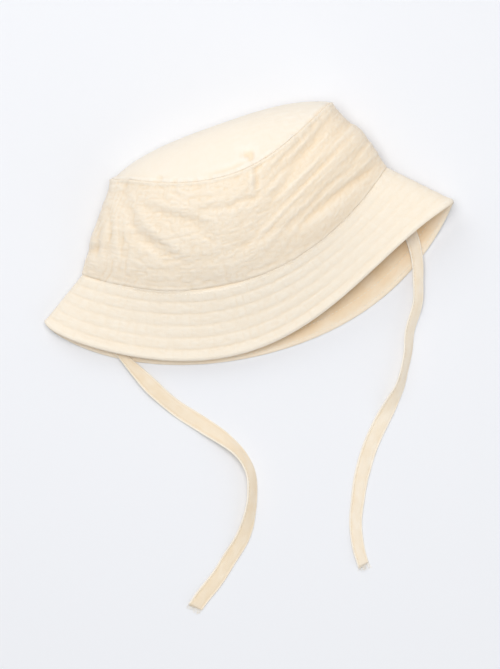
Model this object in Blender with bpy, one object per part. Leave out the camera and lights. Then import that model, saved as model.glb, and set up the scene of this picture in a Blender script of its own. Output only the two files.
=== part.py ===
"""A child's soft bucket hat with two chin ties, lying on its side on a table.

Run it with: blender --background --python part.py
Metres, +Z up. X runs across the hat, +Y points from the brim to the crown's tip, and the table is z = 0.
The origin is on the table, under the middle of the hat without its ties.
"""

import math

import bmesh
import bpy
import numpy as np

# Cloth thicknesses, and the room left between pieces that touch.
SHELL_THICK = 0.0008
LINING_THICK = 0.0008
INTERLINING_THICK = 0.0004
LAYER_GAP = 0.0003
SEAM_GAP = 0.0004

# Seam between tip and band, where the crown is gathered to its flat top.
TIP_WIDTH = 0.168
TIP_CENTRE_X = 0.011
TIP_ENDS_Y = 0.074
TIP_DIP_TOP = 0.026
TIP_DIP_UNDER = -0.002
TIP_HEIGHTS = (0.058, 0.070, 0.066)

# Middle of the flat top, puffed out past its seam.
POLE_Y = 0.0855
POLE_HEIGHT = 0.032
TIP_PUFF = 3.2

# Seam between band and brim, where the head goes in. A fullness near 2 is a plain oval.
HEAD_FULLNESS = 1.9
HEAD_WIDTH = 0.235
HEAD_CENTRE_X = 0.0
HEAD_ENDS_Y = 0.016
HEAD_DIP_TOP = 0.044
HEAD_DIP_UNDER = 0.040
HEAD_HEIGHTS = (0.030, 0.036, 0.043)

# Free edge of the brim, lifted and pulled back on the right.
BRIM_WIDTH = 0.312
BRIM_ENDS_Y = -0.0158
BRIM_TILT = -0.0084
BRIM_DIP_TOP = 0.061
BRIM_DIP_UNDER = 0.068
BRIM_HEIGHTS = (0.020, 0.014, 0.046)
BRIM_LIFT = 0.024
BRIM_LIFT_SKEW = 1.55
BRIM_FULLNESS = 1.31

# How far the band bulges and the brim sags between their seams.
BAND_BULGE = 0.009
BAND_SIDE_BULGE = 0.002
BRIM_SAG = 0.002

# Shape of every cross-section: how much of the underside is flat on the table, and how round it is.
FLAT_SHARE = 0.10
SIDE_BLUNTNESS = 0.70
SIDE_ROUNDNESS = 1.3
MITRE_SPAN = 0.20
SIDE_LEAN = 0.8

# Chin ties: a flat strip each, sewn inside the head seam at the sides.
TIE_WIDTH = 0.011
TIE_THICK = 0.0012
TIE_SWING = math.radians(8)
TIE_POINTS = 46
ROUTE_SAMPLES = 20
TIE_LOWEST_ALONG = 1.75
LINING_ROWS = 60
LINING_COLUMNS = 241
TACK_RADIUS = 0.0006
TACK_MARGIN = 0.001
TACK_INSET = 0.003
TABLE_GAP = 0.0001
TIE_EASE = 2

# Each route starts where the tie is sewn, as steps from that end of the head seam.
TIE_ROUTE_LEFT = [
    (0.0105, -0.004), (0.0055, -0.020), (0.0020, -0.036), (0.0035, -0.052), (0.0080, -0.066),
    (0.0150, -0.082), (0.0230, -0.099), (0.0325, -0.115), (0.0450, -0.131), (0.0565, -0.146),
    (0.0645, -0.160), (0.0675, -0.175), (0.0645, -0.189), (0.0575, -0.204), (0.0465, -0.219),
    (0.0320, -0.231), (0.0180, -0.242), (0.0050, -0.250), (-0.0035, -0.256),
]
TIE_ROUTE_RIGHT = [
    (-0.0105, -0.004), (-0.0060, -0.021), (-0.0020, -0.038), (0.0005, -0.055), (-0.0015, -0.072),
    (-0.0055, -0.085), (-0.0115, -0.101), (-0.0235, -0.118), (-0.0305, -0.133), (-0.0425, -0.152),
    (-0.0525, -0.162), (-0.0685, -0.177), (-0.0805, -0.190), (-0.0925, -0.207), (-0.1005, -0.222),
    (-0.1075, -0.237), (-0.1115, -0.254), (-0.1125, -0.268),
]

# How finely the cloth is divided, and how much closer together the divisions are at the side folds.
SIDE_STEPS = 24
TIP_STEPS = 5
BAND_STEPS = 5
BRIM_STEPS = 4
FOLD_CROWDING = 0.6
RIM_CROWDING = 1.5
SMOOTH_ANGLE = math.radians(50)

# Where each piece of cloth starts, counted from the tip's middle, and where the brim ends.
TIP, BAND, BRIM, EDGE = 0.0, 1.0, 2.0, 3.0
SEAM_HEIGHTS = {BAND: (TIP_HEIGHTS, HEAD_HEIGHTS), BRIM: (HEAD_HEIGHTS, BRIM_HEIGHTS)}
TAU = 2 * math.pi


def ring(width, centre_x, ends_y, dip_top, dip_under, heights, fullness=2.0, tilt=0.0, lift=0.0):
    """One sewn line round the hat, as a function from the angle round it to (x, y, z)."""
    left, middle, right = heights

    def point(angle):
        across, up = math.cos(angle), math.sin(angle)
        top = (1 + up) / 2
        dip = dip_under + (dip_top - dip_under) * top
        x = centre_x + width / 2 * across
        y = ends_y + tilt * across - dip * abs(up) ** fullness
        y += lift * across * (1 + BRIM_LIFT_SKEW * across) * abs(up) * top
        height = middle + (right - left) / 2 * across + ((right + left) / 2 - middle) * across**2
        return np.array((x, y, height * rise(angle)))

    return point


def rise(angle):
    """Height round a cross-section as a share of its full height, 0 where it lies on the table."""
    up = math.sin(angle)
    share = (1 + math.copysign(abs(up) ** SIDE_BLUNTNESS, up)) / 2
    return (max(0.0, share - FLAT_SHARE) / (1 - FLAT_SHARE)) ** SIDE_ROUNDNESS


tip_seam = ring(TIP_WIDTH, TIP_CENTRE_X, TIP_ENDS_Y, TIP_DIP_TOP, TIP_DIP_UNDER, TIP_HEIGHTS)
head_seam = ring(
    HEAD_WIDTH, HEAD_CENTRE_X, HEAD_ENDS_Y, HEAD_DIP_TOP, HEAD_DIP_UNDER, HEAD_HEIGHTS, HEAD_FULLNESS
)
brim_edge = ring(
    BRIM_WIDTH, 0.0, BRIM_ENDS_Y, BRIM_DIP_TOP, BRIM_DIP_UNDER, BRIM_HEIGHTS, BRIM_FULLNESS,
    BRIM_TILT, BRIM_LIFT,
)
POLE = np.array((TIP_CENTRE_X, POLE_Y, POLE_HEIGHT))


def cloth(along, angle, depth):
    """A point of the hat: along runs from the tip (0) by the seams (1, 2) to the brim's edge (3)."""
    up = rise(angle)
    side = SIDE_LEAN * math.cos(angle) ** 4
    if along <= BAND:
        share = along - TIP
        start, end = POLE, tip_seam(angle)
        point = start + (end - start) * share
        point[1] = start[1] + (end[1] - start[1]) * share**TIP_PUFF
        reach, lean = share, 1.0
    elif along <= BRIM:
        share = along - BAND
        point = tip_seam(angle) * (1 - share) + head_seam(angle) * share
        point[0] += BAND_SIDE_BULGE * 4 * share * (1 - share) * math.cos(angle)
        point[2] += BAND_BULGE * 4 * share * (1 - share) * up
        reach, lean = 1.0, side + (1 - side) * max(0.0, 1 - share / MITRE_SPAN) ** 2
    else:
        share = along - BRIM
        point = head_seam(angle) * (1 - share) + brim_edge(angle) * share
        point[2] -= BRIM_SAG * 4 * share * (1 - share) * up
        reach, lean = 1.0, side
    inward = np.array((-math.cos(angle) * reach, -lean, (1 - 2 * up) * reach))
    return point + inward * depth


def fold_angle(*heights):
    """How far round from a side fold a panel stops, so that its two halves clear each other there."""
    return (SEAM_GAP / min(heights)) ** (1 / SIDE_BLUNTNESS)


def side_angles(first, last, steps):
    """Angles from first to last, closer together at both ends, where the cloth folds over."""
    even = np.linspace(0, 1, steps + 1)
    crowded = 0.5 - 0.5 * np.cos(math.pi * even)
    share = (1 - FOLD_CROWDING) * even + FOLD_CROWDING * crowded
    return first + (last - first) * share


def solid(name, colour, vertices, faces):
    """A closed mesh object with its own material, faces turned outwards."""
    mesh = bpy.data.meshes.new(name)
    shape = bmesh.new()
    corners = [shape.verts.new(v) for v in vertices]
    for face in faces:
        shape.faces.new([corners[i] for i in face])
    bmesh.ops.recalc_face_normals(shape, faces=shape.faces)
    shape.to_mesh(mesh)
    shape.free()
    mesh.shade_smooth()
    mesh.set_sharp_from_angle(angle=SMOOTH_ANGLE)
    finish(bpy.data.objects.new(name, mesh), colour)


def finish(made, colour):
    """Puts an object in the hat's collection with a matt cloth material of its own."""
    material = bpy.data.materials.new(made.name + "_cloth")
    material.use_nodes = True
    shader = material.node_tree.nodes["Principled BSDF"]
    shader.inputs["Base Color"].default_value = (*colour, 1)
    shader.inputs["Roughness"].default_value = CLOTH_ROUGHNESS
    made.data.materials.append(material)
    hat.objects.link(made)


def panel(name, colour, zone, depths, front, steps):
    """Half of the band or of the brim: the cloth between two depths, from one side fold to the other."""
    seam = SEAM_GAP / 2
    length = np.linalg.norm(cloth(zone + 1, 0, 0) - cloth(zone, 0, 0))
    start_heights, end_heights = SEAM_HEIGHTS[zone]
    left = fold_angle(start_heights[0], end_heights[0])
    right = fold_angle(start_heights[2], end_heights[2])
    first, last = (right, math.pi - left) if front else (math.pi + left, TAU - right)
    last_along = zone + 1 - (seam / length if zone < BRIM else 0)
    alongs = np.linspace(zone + seam / length, last_along, steps + 1)
    angles = side_angles(first, last, SIDE_STEPS)
    rows, columns = len(alongs), len(angles)
    vertices = [cloth(a, t, d) for d in depths for a in alongs for t in angles]

    def at(layer, row, column):
        return (layer * rows + row) * columns + column

    faces = []
    for r in range(rows - 1):
        for c in range(columns - 1):
            for layer in (0, 1):
                first_corner, far_corner = at(layer, r, c), at(layer, r + 1, c + 1)
                faces.append((first_corner, at(layer, r, c + 1), far_corner))
                faces.append((first_corner, far_corner, at(layer, r + 1, c)))
        for c in (0, columns - 1):
            faces.append((at(0, r, c), at(0, r + 1, c), at(1, r + 1, c), at(1, r, c)))
    for c in range(columns - 1):
        for r in (0, rows - 1):
            faces.append((at(0, r, c), at(0, r, c + 1), at(1, r, c + 1), at(1, r, c)))
    solid(name, colour, vertices, faces)


def disc(name, colour, depths):
    """The crown's flat top between two depths, out to its seam."""
    over, under = side_angles(0, math.pi, SIDE_STEPS), side_angles(math.pi, TAU, SIDE_STEPS)
    angles = np.concatenate([over, under[1:-1]])
    inset = SEAM_GAP / 2 / (TIP_ENDS_Y - TIP_DIP_TOP)
    alongs = (BAND - inset) * (1 - (1 - np.linspace(0, 1, TIP_STEPS + 1)[1:]) ** RIM_CROWDING)
    rows, columns = len(alongs), len(angles)
    vertices = [cloth(a, t, d) for d in depths for a in alongs for t in angles]
    poles = [len(vertices), len(vertices) + 1]
    vertices += [cloth(TIP, 0, d) for d in depths]

    def at(layer, row, column):
        return (layer * rows + row) * columns + column % columns

    faces = []
    for c in range(columns):
        for layer in (0, 1):
            faces.append((poles[layer], at(layer, 0, c), at(layer, 0, c + 1)))
            for r in range(rows - 1):
                first_corner, far_corner = at(layer, r, c), at(layer, r + 1, c + 1)
                faces.append((first_corner, at(layer, r, c + 1), far_corner))
                faces.append((first_corner, far_corner, at(layer, r + 1, c)))
        rim = rows - 1
        faces.append((at(0, rim, c), at(0, rim, c + 1), at(1, rim, c + 1), at(1, rim, c)))
    solid(name, colour, vertices, faces)


def smooth_route(points, count):
    """Evenly spaced points on one smooth curve, a Catmull-Rom spline, through the route's own points."""
    chain = np.array([2 * points[0] - points[1], *points, 2 * points[-1] - points[-2]])
    fine = []
    for before, start, end, after in zip(chain, chain[1:], chain[2:], chain[3:]):
        for t in np.linspace(0, 1, ROUTE_SAMPLES, endpoint=False):
            slope = (end - before) * t
            bend = (2 * before - 5 * start + 4 * end - after) * t**2
            twist = (3 * start - 3 * end + after - before) * t**3
            fine.append((2 * start + slope + bend + twist) / 2)
    fine = np.array([*fine, chain[-2]])
    run = np.concatenate([[0], np.cumsum(np.linalg.norm(np.diff(fine, axis=0), axis=1))])
    even = np.linspace(0, run[-1], count)
    return np.stack([np.interp(even, run, fine[:, i]) for i in range(2)], axis=1)


def tie_line(route, seam_end):
    """The middle line of a tie: on the brim's lining inside the hat, then down to the table."""
    plan = smooth_route(np.array(route) + seam_end[:2], TIE_POINTS)
    lining = np.array([
        cloth(along, angle, BRIM_STACK)
        for along in np.linspace(TIE_LOWEST_ALONG, EDGE, LINING_ROWS)
        for angle in np.linspace(math.pi, TAU, LINING_COLUMNS)
    ])
    heights = []
    for x, y in plan:
        swept = TIE_WIDTH / 2 + SEAM_GAP + TIE_SWING * math.hypot(x - plan[0][0], y - plan[0][1])
        under = np.hypot(lining[:, 0] - x, lining[:, 1] - y) < swept
        heights.append(lining[under, 2].max() + 2 * LAYER_GAP if under.any() else 0.0)
    window = 2 * TIE_EASE + 1
    padded = np.pad(heights, 2 * TIE_EASE, mode="edge")
    highest = [padded[i : i + window].max() for i in range(len(padded) - window + 1)]
    eased = [np.mean(highest[i : i + window]) for i in range(len(heights))]
    return [np.array((x, y, z + TIE_THICK / 2 + TABLE_GAP)) for (x, y), z in zip(plan, eased)]


def tie(name, route, angle, colour):
    """A flat strip along its line, and the thread tack that holds it. The strip swings about its origin."""
    line = tie_line(route, head_seam(angle))
    sewn = line[0] - (0, TACK_INSET, 0)
    curve = bpy.data.curves.new(name, "CURVE")
    curve.dimensions = "3D"
    curve.bevel_depth = TIE_THICK / 2
    curve.extrude = (TIE_WIDTH - TIE_THICK) / 2
    curve.bevel_resolution = 2
    curve.twist_mode = "Z_UP"
    curve.use_fill_caps = True
    spline = curve.splines.new("POLY")
    spline.points.add(len(line) - 1)
    for point, place in zip(spline.points, line):
        point.co = (*(place - sewn), 1)
        point.tilt = math.pi / 2
    strip = bpy.data.objects.new(name, curve)
    strip.location = sewn
    finish(strip, colour)

    tack = bpy.data.curves.new(name + "_tack", "CURVE")
    tack.dimensions = "3D"
    tack.bevel_depth = TACK_RADIUS
    tack.bevel_resolution = 2
    tack.use_fill_caps = True
    bar = tack.splines.new("POLY")
    bar.points.add(1)
    half_length = TIE_WIDTH / 2 - TACK_MARGIN
    for point, end in zip(bar.points, (-half_length, half_length)):
        point.co = (end, 0, 0, 1)
    thread = bpy.data.objects.new(name + "_tack", tack)
    highest = max(line[0][2], line[1][2])
    thread.location = (sewn[0], sewn[1], highest + TIE_THICK / 2 + LAYER_GAP + TACK_RADIUS)
    finish(thread, THREAD_COLOUR)


for old in list(bpy.data.objects):
    bpy.data.objects.remove(old)
hat = bpy.data.collections.new("bucket_hat")
bpy.context.scene.collection.children.link(hat)

CLOTH_ROUGHNESS = 0.9
CLOTH_COLOUR = (0.93, 0.82, 0.62)
LINING_COLOUR = (0.92, 0.80, 0.60)
INTERLINING_COLOUR = (0.90, 0.88, 0.83)
THREAD_COLOUR = (0.94, 0.86, 0.70)

# Depth of each layer's two faces below the outside of the hat.
shell = (0.0, SHELL_THICK)
under_shell = SHELL_THICK + LAYER_GAP
lining = (under_shell, under_shell + LINING_THICK)
interlining = (under_shell, under_shell + INTERLINING_THICK)
under_interlining = interlining[1] + LAYER_GAP
brim_facing = (under_interlining, under_interlining + LINING_THICK)
BRIM_STACK = brim_facing[1]

disc("crown_tip", CLOTH_COLOUR, shell)
disc("crown_tip_lining", LINING_COLOUR, lining)
for half, front in (("front", True), ("back", False)):
    panel(f"band_{half}", CLOTH_COLOUR, BAND, shell, front, BAND_STEPS)
    panel(f"band_lining_{half}", LINING_COLOUR, BAND, lining, front, BAND_STEPS)
    panel(f"brim_top_{half}", CLOTH_COLOUR, BRIM, shell, front, BRIM_STEPS)
    panel(f"brim_interlining_{half}", INTERLINING_COLOUR, BRIM, interlining, front, BRIM_STEPS)
    panel(f"brim_facing_{half}", LINING_COLOUR, BRIM, brim_facing, front, BRIM_STEPS)
tie("tie_left", TIE_ROUTE_LEFT, math.pi, CLOTH_COLOUR)
tie("tie_right", TIE_ROUTE_RIGHT, 0.0, CLOTH_COLOUR)
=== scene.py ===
import math

import bpy
import numpy as np
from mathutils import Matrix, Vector


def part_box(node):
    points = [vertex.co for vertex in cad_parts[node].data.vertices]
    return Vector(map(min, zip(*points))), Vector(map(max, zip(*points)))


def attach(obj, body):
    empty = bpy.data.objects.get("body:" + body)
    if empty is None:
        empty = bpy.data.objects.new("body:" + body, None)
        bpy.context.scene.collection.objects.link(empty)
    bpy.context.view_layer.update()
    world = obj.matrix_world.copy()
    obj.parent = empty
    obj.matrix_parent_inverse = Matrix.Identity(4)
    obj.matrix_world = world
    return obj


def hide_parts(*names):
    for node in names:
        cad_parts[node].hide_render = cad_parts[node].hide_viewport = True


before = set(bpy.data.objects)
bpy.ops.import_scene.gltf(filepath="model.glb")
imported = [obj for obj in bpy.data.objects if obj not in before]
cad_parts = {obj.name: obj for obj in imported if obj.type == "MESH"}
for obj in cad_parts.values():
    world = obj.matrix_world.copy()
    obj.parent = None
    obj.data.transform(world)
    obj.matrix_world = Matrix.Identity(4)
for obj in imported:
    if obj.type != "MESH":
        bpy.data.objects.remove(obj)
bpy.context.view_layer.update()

fullTurn = 2 * math.pi


def placed(name, data):
    # a new object in the scene
    made = bpy.data.objects.new(name, data)
    bpy.context.scene.collection.objects.link(made)
    return made


# a camera looking straight down on the table
cameraSet = {"middle": (-0.0168, -0.0657), "turn": 19.5, "distance": 5.0, "longSide": 0.4884}

lens = bpy.data.cameras.new("camera")
lens.sensor_width = 36
lens.lens = lens.sensor_width * cameraSet["distance"] / cameraSet["longSide"]
lens.clip_end = 50
eye = placed("camera", lens)
eye.location = (*cameraSet["middle"], cameraSet["distance"])
eye.rotation_euler = (0, 0, -math.radians(cameraSet["turn"]))
bpy.context.scene.camera = eye
bpy.context.scene.view_settings.view_transform = "Standard"  # pale cloth keeps its own colour
print("camera ready")

# soft light and a pale floor
lightSet = {
    "sky": 0.415, "skyColour": (0.975, 0.985, 1.0),
    # each lamp's power, size and place
    "lamps": {
        "overhead": (21.5, 1.0, (-0.02, 0.30, 2.0)),
        "window": (4.8, 1.0, (-0.25, 1.30, 1.10)),
        "fill": (3.6, 1.4, (0.9, -1.1, 0.9)),
    },
}
floorSet = {"half": 4, "colour": (0.865, 0.875, 0.905), "roughness": 0.8}

world = bpy.data.worlds.new("studio")
bpy.context.scene.world = world
world.use_nodes = True
sky = world.node_tree.nodes["Background"]
sky.inputs["Color"].default_value = (*lightSet["skyColour"], 1)
sky.inputs["Strength"].default_value = lightSet["sky"]
for name, (power, size, place) in lightSet["lamps"].items():
    lamp = bpy.data.lights.new(name, "AREA")
    lamp.energy, lamp.size = power, size
    softbox = placed(name, lamp)
    softbox.location = place
    softbox.rotation_euler = (-Vector(place)).to_track_quat("-Z", "Y").to_euler()

floorMesh = bpy.data.meshes.new("floor")
half = floorSet["half"]
corners = [(-half, -half, 0), (half, -half, 0), (half, half, 0), (-half, half, 0)]
floorMesh.from_pydata(corners, [], [(0, 1, 2, 3)])
floor = placed("floor", floorMesh)
floorPaint = bpy.data.materials.new("paleTable")
floorPaint.use_nodes = True
floorShader = floorPaint.node_tree.nodes["Principled BSDF"]
floorShader.inputs["Base Color"].default_value = (*floorSet["colour"], 1)
floorShader.inputs["Roughness"].default_value = floorSet["roughness"]
floorMesh.materials.append(floorPaint)
print("light and floor ready")

# the weave shared by the cloths: how many cells a metre holds, how they are drawn out,
# and how much each adds to the shade, painted shade from the cells where the puckers sink and random tone
# from the blotches
weaveSet = {"threadScale": 1900, "threadStretch": 0.12, "cellScale": 420, "cellStretch": 0.55,
            "blotchScale": 60, "cellPaintedShade": 0.6, "blotchShade": 0.4}
weaveTree = bpy.data.node_groups.new("gauzeWeave", "ShaderNodeTree")
for label, way, kind in (
    ("Vector", "INPUT", "Vector"), ("Pucker", "INPUT", "Float"), ("Thread", "INPUT", "Float"),
    ("Height", "OUTPUT", "Float"), ("Shade", "OUTPUT", "Float"),
):
    weaveTree.interface.new_socket(label, in_out=way, socket_type="NodeSocket" + kind)
weaveIn, weaveOut = weaveTree.nodes.new("NodeGroupInput"), weaveTree.nodes.new("NodeGroupOutput")


def stretchedNoise(stretch, scale, detail):
    # noise drawn out along one direction of the cloth
    mapping = weaveTree.nodes.new("ShaderNodeMapping")
    mapping.inputs["Scale"].default_value = stretch
    weaveTree.links.new(weaveIn.outputs["Vector"], mapping.inputs["Vector"])
    noise = weaveTree.nodes.new("ShaderNodeTexNoise")
    noise.inputs["Scale"].default_value = scale
    noise.inputs["Detail"].default_value = detail
    weaveTree.links.new(mapping.outputs["Vector"], noise.inputs["Vector"])
    return noise.outputs["Fac"]


def weaveMath(kind, first, second):
    node = weaveTree.nodes.new("ShaderNodeMath")
    node.operation = kind
    for socket, value in zip(node.inputs, (first, second)):
        if isinstance(value, float):
            socket.default_value = value
        else:
            weaveTree.links.new(value, socket)
    return node.outputs[0]


warp = stretchedNoise((1.0, weaveSet["threadStretch"], 1.0), weaveSet["threadScale"], 2)
weft = stretchedNoise((weaveSet["threadStretch"], 1.0, 1.0), weaveSet["threadScale"], 2)
cells = stretchedNoise((weaveSet["cellStretch"], 1.0, 1.0), weaveSet["cellScale"], 3)
blotches = stretchedNoise((1.0, 1.0, 1.0), weaveSet["blotchScale"], 3)
threads = weaveMath("MULTIPLY", weaveMath("ADD", warp, weft), weaveIn.outputs["Thread"])
puckers = weaveMath("MULTIPLY", cells, weaveIn.outputs["Pucker"])
weaveTree.links.new(weaveMath("ADD", threads, puckers), weaveOut.inputs["Height"])
# painted shade: the cells that sink the puckers also darken the colour; the blotches are random tone
cellPaintedShade = weaveMath("MULTIPLY", cells, weaveSet["cellPaintedShade"])
blotchShade = weaveMath("MULTIPLY", blotches, weaveSet["blotchShade"])
weaveTree.links.new(weaveMath("ADD", cellPaintedShade, blotchShade), weaveOut.inputs["Shade"])

clothFinish = {"Roughness": 0.92, "Specular IOR Level": 0.2, "Sheen Weight": 0.25, "Sheen Roughness": 0.6}
clothShade = {"bump": 0.6, "deepUpTo": 0.32, "lightFrom": 0.62}


def clothMaterial(name, light, deep, pucker, thread, valley=(1, 1, 1), depth=0.00035):
    # light and deep are the cloth's two colours, spread by the weave's shade: deep is partly painted shade
    # where the puckers sink and partly random tone; valley is the colour of painted shade, multiplied in by
    # the dip attribute at the bottom of a fold or crinkle
    made = bpy.data.materials.new(name)
    made.use_nodes = True
    tree = made.node_tree
    shader = tree.nodes["Principled BSDF"]
    uv = tree.nodes.new("ShaderNodeUVMap")
    uv.uv_map = "cloth"
    weave = tree.nodes.new("ShaderNodeGroup")
    weave.node_tree = weaveTree
    weave.inputs["Pucker"].default_value = pucker
    weave.inputs["Thread"].default_value = thread
    tree.links.new(uv.outputs["UV"], weave.inputs["Vector"])
    ramp = tree.nodes.new("ShaderNodeValToRGB")
    ramp.color_ramp.elements[0].position = clothShade["deepUpTo"]
    ramp.color_ramp.elements[0].color = (*deep, 1)
    ramp.color_ramp.elements[1].position = clothShade["lightFrom"]
    ramp.color_ramp.elements[1].color = (*light, 1)
    tree.links.new(weave.outputs["Shade"], ramp.inputs["Fac"])
    # the dip attribute is painted shade, from how deep a point lies in the cloth's valleys and from the
    # extra shade of its panel
    dip = tree.nodes.new("ShaderNodeAttribute")
    dip.attribute_name = "dip"
    tint = tree.nodes.new("ShaderNodeMix")
    tint.data_type, tint.blend_type = "RGBA", "MULTIPLY"
    factor, cloth, shaded, tinted = tint.inputs[0], tint.inputs[6], tint.inputs[7], tint.outputs[2]
    shaded.default_value = (*valley, 1)
    tree.links.new(dip.outputs["Fac"], factor)
    tree.links.new(ramp.outputs["Color"], cloth)
    tree.links.new(tinted, shader.inputs["Base Color"])
    bump = tree.nodes.new("ShaderNodeBump")
    bump.inputs["Strength"].default_value = clothShade["bump"]
    bump.inputs["Distance"].default_value = depth
    tree.links.new(weave.outputs["Height"], bump.inputs["Height"])
    tree.links.new(bump.outputs["Normal"], shader.inputs["Normal"])
    for label, value in clothFinish.items():
        shader.inputs[label].default_value = value
    return made


# one cream gauze in lit and shaded copies: the tip and brim are paler as painted light, the band deeper as
# painted shade of its crinkles, and the lining and facing a warm tan as painted shade inside the hat; the
# three tints are painted shade laid into valleys, and the interlining and thread keep their own colours
valleyPaintedShade, facingPaintedShade, tiePaintedShade = (0.95, 0.87, 0.76), (0.90, 0.73, 0.49), (0.92, 0.83, 0.70)
shadedBandCloth = clothMaterial("creamGauze", (0.955, 0.855, 0.715), (0.935, 0.81, 0.64), 1.0, 0.5, valleyPaintedShade)
litTipCloth = clothMaterial("creamGauzeTipLit", (0.965, 0.89, 0.775), (0.96, 0.875, 0.75), 0.4, 0.4, valleyPaintedShade)
litBrimCloth = clothMaterial("creamGauzeBrimLit", (0.96, 0.875, 0.745), (0.945, 0.84, 0.69), 0.7, 0.5, valleyPaintedShade)
shadedLiningCloth = clothMaterial("creamLiningShaded", (0.965, 0.795, 0.575), (0.935, 0.73, 0.50), 0.6, 0.4, valleyPaintedShade)
shadedFacingCloth = clothMaterial("creamFacingShaded", (0.985, 0.865, 0.695), (0.965, 0.81, 0.615), 0.6, 0.4, facingPaintedShade)
coreCloth = clothMaterial("paleInterlining", (0.90, 0.88, 0.83), (0.87, 0.85, 0.79), 0.2, 0.3)
tieCloth = clothMaterial("creamTie", (0.965, 0.895, 0.785), (0.95, 0.865, 0.735), 0.6, 0.6, tiePaintedShade)
threadPaint = clothMaterial("creamThread", (0.96, 0.89, 0.77), (0.94, 0.85, 0.71), 0.0, 0.4, depth=0.00005)
print("materials ready")

# the shape of the hat, as its solids have it
hatShape = {
    "tipWidth": 0.168, "tipCentreX": 0.011, "tipEndsY": 0.074, "tipDips": (0.026, -0.002),
    "tipHeights": (0.058, 0.070, 0.066), "poleY": 0.0855, "poleHeight": 0.032, "tipPuff": 3.2,
    "headWidth": 0.235, "headEndsY": 0.016, "headDips": (0.044, 0.040),
    "headHeights": (0.030, 0.036, 0.043), "headFullness": 1.9,
    "brimWidth": 0.312, "brimEndsY": -0.0158, "brimTilt": -0.0084, "brimDips": (0.061, 0.068),
    "brimHeights": (0.020, 0.014, 0.046), "brimLift": 0.024, "brimLiftSkew": 1.55, "brimFullness": 1.31,
    "bandBulge": 0.009, "bandSideBulge": 0.002, "brimSag": 0.002,
    "flatShare": 0.10, "bluntness": 0.70, "roundness": 1.3, "mitreSpan": 0.20, "sideLean": 0.8,
}
# each layer's outer and inner face, measured inwards from the outside of the hat
layerSet = {
    "shell": (0.0, 0.0008), "lining": (0.0011, 0.0019),
    "core": (0.0011, 0.0015), "facing": (0.0018, 0.0026),
}
band, brim = 1, 2  # where these zones start, counted along the hat from its tip


def riseOf(angle):
    up = np.sin(angle)
    share = (1 + np.sign(up) * np.abs(up) ** hatShape["bluntness"]) / 2
    flat = hatShape["flatShare"]
    return (np.maximum(0, share - flat) / (1 - flat)) ** hatShape["roundness"]


def seamLine(angle, width, centreX, endsY, dips, heights, fullness=2.0, tilt=0.0, lift=0.0):
    across, up = np.cos(angle), np.sin(angle)
    top = (1 + up) / 2
    dip = dips[1] + (dips[0] - dips[1]) * top
    x = centreX + width / 2 * across
    y = endsY + tilt * across - dip * np.abs(up) ** fullness
    y = y + lift * across * (1 + hatShape["brimLiftSkew"] * across) * np.abs(up) * top
    left, middle, right = heights
    height = middle + (right - left) / 2 * across + ((right + left) / 2 - middle) * across**2
    return np.stack([x, y, height * riseOf(angle)], axis=-1)


def tipSeam(angle):
    s = hatShape
    return seamLine(angle, s["tipWidth"], s["tipCentreX"], s["tipEndsY"], s["tipDips"], s["tipHeights"])


def headSeam(angle):
    s = hatShape
    return seamLine(angle, s["headWidth"], 0, s["headEndsY"], s["headDips"], s["headHeights"],
                    s["headFullness"])


def brimEdge(angle):
    s = hatShape
    return seamLine(angle, s["brimWidth"], 0, s["brimEndsY"], s["brimDips"], s["brimHeights"],
                    s["brimFullness"], s["brimTilt"], s["brimLift"])


def smoothSurface(along, angle):
    # a point of the outside, and the direction into the cloth:
    # along is 0 at the tip's middle, 1 at its seam, 2 at the head seam and 3 at the brim's edge
    s = hatShape
    up, cos = riseOf(angle), np.cos(angle)
    side = s["sideLean"] * cos**4
    tip, head, edge = tipSeam(angle), headSeam(angle), brimEdge(angle)
    pole = np.array((s["tipCentreX"], s["poleY"], s["poleHeight"]))
    a = np.clip(along, 0, 1)[..., None]
    onTip = pole + (tip - pole) * a
    onTip[..., 1] = pole[1] + (tip[..., 1] - pole[1]) * a[..., 0] ** s["tipPuff"]
    b = np.clip(along - 1, 0, 1)
    onBand = tip * (1 - b[..., None]) + head * b[..., None]
    onBand[..., 0] += s["bandSideBulge"] * 4 * b * (1 - b) * cos
    onBand[..., 2] += s["bandBulge"] * 4 * b * (1 - b) * up
    c = np.clip(along - 2, 0, 1)
    onBrim = head * (1 - c[..., None]) + edge * c[..., None]
    onBrim[..., 2] -= s["brimSag"] * 4 * c * (1 - c) * up
    isTip, isBand = along <= 1, (along > 1) & (along <= 2)
    point = np.where(isTip[..., None], onTip, np.where(isBand[..., None], onBand, onBrim))
    reach = np.where(isTip, a[..., 0], 1.0)
    bandLean = side + (1 - side) * np.maximum(0, 1 - b / s["mitreSpan"]) ** 2
    lean = np.where(isTip, 1.0, np.where(isBand, bandLean, side))
    inward = np.stack([-cos * reach, -lean, (1 - 2 * up) * reach], axis=-1)
    return point, inward


# small shapes of the cloth: heights in metres, and noise cells as (round the hat, along it)
crinkleSet = {
    "seed": 11, "zoneFade": 30, "topFrom": 0.4, "topFade": 3,
    "bend": 0.004, "bendCell": (0.030, 0.022),
    "puff": 0.00056, "puffCell": (0.0085, 0.0034), "puffOnBrim": 0.2,
    "uprightCell": (0.0034, 0.0130), "uprightGain": 1.45, "leftFrom": 0.076, "leftFade": 0.008,
    "rightFrom": 0.012, "rightFade": 0.012, "smoothedRight": 0.78,
    "finePuff": 0.00038, "fineCell": (0.0042, 0.0026), "fineOnBrim": 0.45,
    "wave": 0.0013, "waveCell": (0.042, 0.026), "waveOnTip": 0.06,
}
tipCrinkleSet = {
    "cell": (0.0100, 0.0034), "lean": 0.8, "bend": 0.3, "puffShare": 0.55, "fineShare": 0.5,
    "least": 0.12, "rightGain": 0.70, "rightFrom": 0.034, "rightFade": 0.012,
    "lowerGain": 0.9, "lowerFrom": 0.042, "lowerFade": 0.018,
}
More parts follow.
